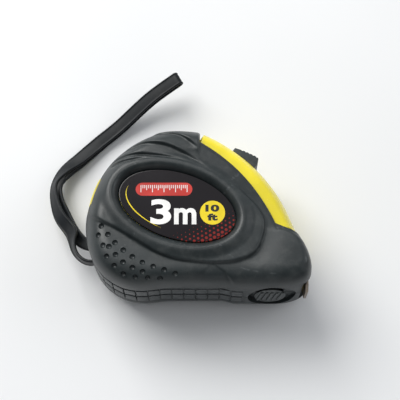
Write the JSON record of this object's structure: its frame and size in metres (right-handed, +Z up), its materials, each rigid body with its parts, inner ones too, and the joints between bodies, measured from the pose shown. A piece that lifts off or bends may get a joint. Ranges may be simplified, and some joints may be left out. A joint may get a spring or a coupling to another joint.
{
  "type": "pocket tape measure",
  "caption": "Pocket tape measure with rubber-jacketed case, spring-return steel blade, end hook, thumb lock, underside brake button and folded wrist strap.",
  "frame": {"origin": "bottom centre of the case, hook and buttons, without the wrist strap", "axes": "the tape lies on its rear face: +X is the way the blade pulls out, +Y runs from the base edge to the top edge, +Z is up, out of the labelled front face"},
  "size_m": [0.0856, 0.0813, 0.034],
  "materials": {
    "yellow_abs": "moulded ABS, semi-gloss yellow",
    "black_rubber": "satin thermoplastic rubber",
    "black_abs": "black moulded ABS",
    "label_film": "domed glossy printed film",
    "plated_steel": "nickel-plated steel",
    "spring_steel": "blued spring steel",
    "blade_yellow": "lacquered steel tape",
    "white_nylon": "natural nylon",
    "strap_vinyl": "glossy flat vinyl"
  },
  "bodies": {
    "case": {"case_half_front": "yellow_abs", "case_half_rear": "yellow_abs", "grip_jacket_front": "black_rubber", "grip_jacket_rear": "black_rubber", "label_front": "label_film", "label_rear": "label_film", "case_screw_1": "plated_steel", "case_screw_2": "plated_steel", "case_screw_3": "plated_steel", "case_screw_4": "plated_steel", "reel_post": "plated_steel", "reel_washer_front": "white_nylon", "reel_washer_rear": "white_nylon", "mouth_guide": "white_nylon", "hook_bumper": "black_rubber", "brake_spring": "spring_steel", "strap_pin": "plated_steel", "strap_rivet": "plated_steel", "wrist_strap": "strap_vinyl"},
    "reel": {"reel_drum": "white_nylon", "reel_cover": "white_nylon", "blade_coil": "blade_yellow", "return_spring": "spring_steel"},
    "blade": {"blade_run": "blade_yellow", "hook_rivet_1": "plated_steel", "hook_rivet_2": "plated_steel"},
    "hook": {"end_hook": "plated_steel"},
    "lock": {"thumb_lock": "black_abs", "lock_arm": "spring_steel", "lock_pad": "black_rubber"},
    "brake": {"brake_button": "black_abs", "brake_pad": "black_rubber"}
  },
  "joints": [
    {"name": "tape_pull", "type": "slide", "parent": "case", "child": "blade", "axis": [1, 0, 0], "range_m": [0, 2.95], "stiffness_N_per_m": 2, "springref_m": -1.5},
    {"name": "reel_spin", "type": "hinge", "parent": "case", "child": "reel", "pos_m": [-0.00653, -0.00037, 0.017], "axis": [0, 0, 1], "range_deg": [0, 10080], "deforming": ["return_spring"]},
    {"name": "hook_play", "type": "slide", "parent": "blade", "child": "hook", "axis": [1, 0, 0], "range_m": [-0.0009, 0]},
    {"name": "thumb_lock_slide", "type": "hinge", "parent": "case", "child": "lock", "pos_m": [-0.01953, -0.02297, 0.017], "axis": [0, 0, -1], "range_deg": [0, 9]},
    {"name": "brake_press", "type": "slide", "parent": "case", "child": "brake", "axis": [0, 1, 0], "range_m": [0, 0.0011], "stiffness_N_per_m": 1500, "springref_m": -0.0006, "deforming": ["brake_spring"]}
  ],
  "couplings": [
    {"joint": "reel_spin", "follows": "tape_pull", "rad_per_m": 59.524}
  ]
}
